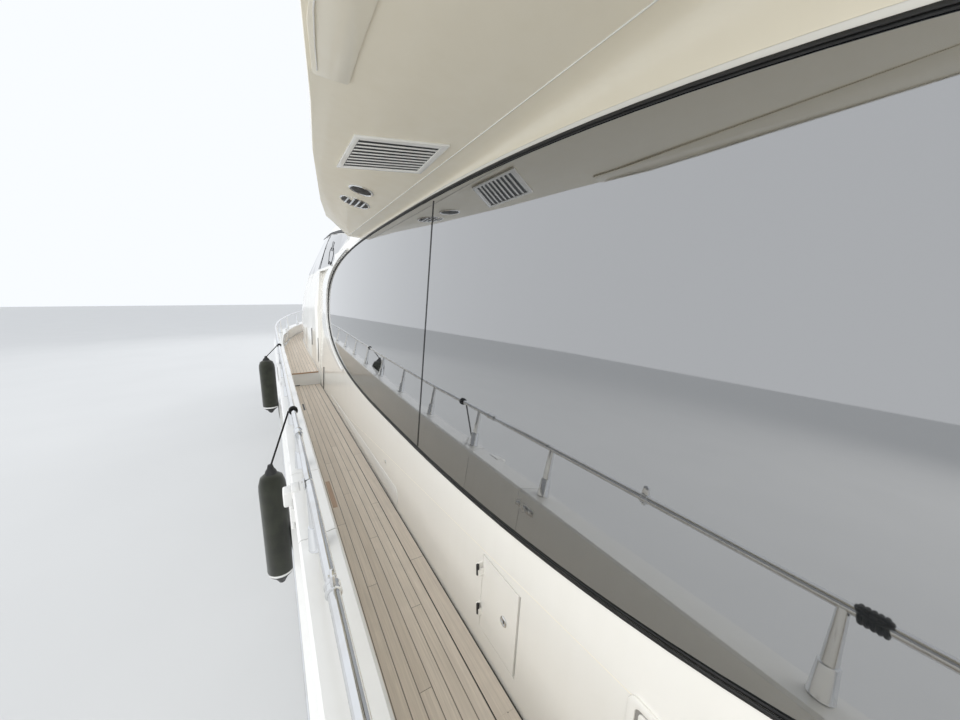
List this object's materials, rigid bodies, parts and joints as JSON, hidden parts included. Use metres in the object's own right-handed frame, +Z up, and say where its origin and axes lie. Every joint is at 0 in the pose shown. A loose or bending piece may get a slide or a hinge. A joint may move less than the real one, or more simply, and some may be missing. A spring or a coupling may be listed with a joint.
{
  "type": "flybridge motor yacht",
  "caption": "Flybridge motor yacht with flared hull, bulwarked side decks, eye-shaped saloon windows, raked pilothouse screen, guard rails with boarding gates, twin shaft drives.",
  "frame": {"origin": "on the centreline at the waterline, near midship", "axes": "+X towards the bow, +Y to port, +Z up"},
  "size_m": [27.1106, 6.6363, 9.99],
  "materials": {
    "white_gelcoat": "glossy",
    "cream_gelcoat": "glossy",
    "beige_gelcoat": "satin",
    "stainless": "polished",
    "teak": "weathered, bare",
    "dark_glass": "polished",
    "cushion_fabric": "woven",
    "bronze": "satin",
    "black_cover": "woven",
    "black_plastic": "matt"
  },
  "bodies": {
    "yacht": {"hull": "white_gelcoat", "bulwark_port": "white_gelcoat", "bulwark_starboard": "white_gelcoat", "foredeck": "white_gelcoat", "trunk_cabin": "white_gelcoat", "eye_moulding_port": "white_gelcoat", "eye_moulding_starboard": "white_gelcoat", "flybridge_coaming": "white_gelcoat", "flybridge_console": "white_gelcoat", "wet_bar": "white_gelcoat", "radar_arch": "white_gelcoat", "dome_port": "white_gelcoat", "dome_starboard": "white_gelcoat", "transom": "white_gelcoat", "swim_platform": "white_gelcoat", "side_wall_port": "cream_gelcoat", "side_wall_starboard": "cream_gelcoat", "aft_bulkhead": "cream_gelcoat", "pilothouse": "cream_gelcoat", "soffit_grille_port": "cream_gelcoat", "soffit_grille_starboard": "cream_gelcoat", "flybridge_deck": "beige_gelcoat", "rail_port_aft": "stainless", "rail_starboard_aft": "stainless", "rail_port_fore": "stainless", "rail_starboard_fore": "stainless", "flybridge_rail": "stainless", "windlass": "stainless", "teak_main_deck": "teak", "teak_foredeck": "teak", "teak_flybridge": "teak", "teak_platform": "teak", "flybridge_table": "teak", "cockpit_table": "teak", "flybridge_stairs": "teak", "eye_window_port": "dark_glass", "eye_window_starboard": "dark_glass", "windscreen": "dark_glass", "flybridge_screen": "dark_glass", "helm_seat": "cushion_fabric", "settee": "cushion_fabric", "cockpit_sofa": "cushion_fabric", "sunpad": "cushion_fabric", "fender_mid": "black_cover", "fender_fore": "black_cover"},
    "gate_port_body": {"gate_port": "white_gelcoat"},
    "gate_starboard_body": {"gate_starboard": "white_gelcoat"},
    "rail_bar_port_body": {"rail_bar_port": "stainless"},
    "rail_bar_starboard_body": {"rail_bar_starboard": "stainless"},
    "side_hatch_port_body": {"side_hatch_port": "cream_gelcoat"},
    "side_hatch_starboard_body": {"side_hatch_starboard": "cream_gelcoat"},
    "saloon_door_body": {"saloon_door": "dark_glass"},
    "foredeck_hatch_body": {"foredeck_hatch": "dark_glass"},
    "helm_wheel_body": {"helm_wheel": "black_plastic"},
    "radar_body": {"radar_scanner": "white_gelcoat"},
    "propeller_port_body": {"propeller_port": "bronze"},
    "propeller_starboard_body": {"propeller_starboard": "bronze"},
    "rudder_port_body": {"rudder_port": "bronze"},
    "rudder_starboard_body": {"rudder_starboard": "bronze"}
  },
  "joints": [
    {"name": "gate_port_swing", "type": "hinge", "parent": "yacht", "child": "gate_port_body", "pos_m": [-1.337, 3.185, 2.1], "axis": [0, 0, -1], "range_deg": [0, 110]},
    {"name": "gate_starboard_swing", "type": "hinge", "parent": "yacht", "child": "gate_starboard_body", "pos_m": [-1.337, -3.185, 2.1], "axis": [0, 0, 1], "range_deg": [0, 110]},
    {"name": "rail_bar_port_lift", "type": "hinge", "parent": "yacht", "child": "rail_bar_port_body", "pos_m": [-2.166, 3.105, 2.73], "axis": [0, -1, 0], "range_deg": [0, 95]},
    {"name": "rail_bar_starboard_lift", "type": "hinge", "parent": "yacht", "child": "rail_bar_starboard_body", "pos_m": [-2.166, -3.105, 2.73], "axis": [0, -1, 0], "range_deg": [0, 95]},
    {"name": "side_hatch_port_swing", "type": "hinge", "parent": "yacht", "child": "side_hatch_port_body", "pos_m": [-2.637, 2.424, 2.22], "axis": [0, 0, -1], "range_deg": [0, 110]},
    {"name": "side_hatch_starboard_swing", "type": "hinge", "parent": "yacht", "child": "side_hatch_starboard_body", "pos_m": [-2.637, -2.424, 2.22], "axis": [0, 0, 1], "range_deg": [0, 110]},
    {"name": "saloon_door_slide", "type": "slide", "parent": "yacht", "child": "saloon_door_body", "axis": [0, 1, 0], "range_m": [0, 1.2]},
    {"name": "foredeck_hatch_lift", "type": "hinge", "parent": "yacht", "child": "foredeck_hatch_body", "pos_m": [10.3, 0, 3.0503], "axis": [0, -1, 0], "range_deg": [0, 80]},
    {"name": "helm_wheel_turn", "type": "hinge", "parent": "yacht", "child": "helm_wheel_body", "pos_m": [-1.07, 0.7, 5.52], "axis": [1, 0, 0], "range_deg": [-540, 540]},
    {"name": "radar_scanner_spin", "type": "hinge", "parent": "yacht", "child": "radar_body", "pos_m": [-7.28, 0, 7.05], "axis": [0, 0, 1], "continuous": true},
    {"name": "propeller_port_spin", "type": "hinge", "parent": "yacht", "child": "propeller_port_body", "pos_m": [-9.15, 1.15, -1.18], "axis": [0.9926, 0, 0.1217], "continuous": true},
    {"name": "propeller_starboard_spin", "type": "hinge", "parent": "yacht", "child": "propeller_starboard_body", "pos_m": [-9.15, -1.15, -1.18], "axis": [0.9926, 0, 0.1217], "continuous": true},
    {"name": "rudder_port_turn", "type": "hinge", "parent": "yacht", "child": "rudder_port_body", "pos_m": [-10.15, 1.15, -1.2], "axis": [0, 0, 1], "range_deg": [-35, 35]},
    {"name": "rudder_starboard_turn", "type": "hinge", "parent": "yacht", "child": "rudder_starboard_body", "pos_m": [-10.15, -1.15, -1.2], "axis": [0, 0, 1], "range_deg": [-35, 35]}
  ],
  "couplings": [
    {"joint": "rudder_starboard_turn", "follows": "rudder_port_turn", "ratio": 1}
  ]
}
